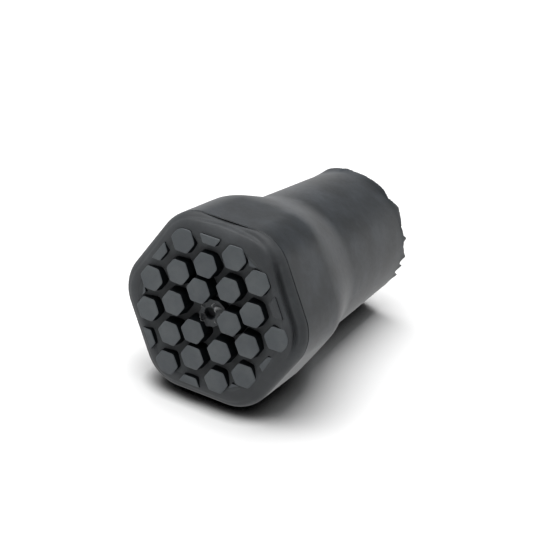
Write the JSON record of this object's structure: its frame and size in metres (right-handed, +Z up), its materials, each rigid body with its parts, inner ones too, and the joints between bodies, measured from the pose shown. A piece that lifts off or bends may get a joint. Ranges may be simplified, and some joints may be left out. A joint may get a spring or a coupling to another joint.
{
  "type": "cane tip",
  "caption": "Moulded rubber cane tip with a six-sided foot, a honeycomb tread, a shoulder that turns round, and a tapered shank with a blind socket pushed onto the end of a cane.",
  "frame": {"origin": "on the floor under the middle of the tip's bounding box, with the tip lying on its side", "axes": "+Y from the tread towards the open mouth, +Z up, +X to the right as seen from the tread; the tip's own axis drops towards the mouth because it lies on its foot and its mouth"},
  "size_m": [0.0366, 0.059, 0.0346],
  "materials": {
    "rubber": "matte moulded rubber, dark slate grey, with a faint mottle and a soft sheen"
  },
  "bodies": {
    "root": {"rubber_tip": "rubber"}
  },
  "joints": []
}
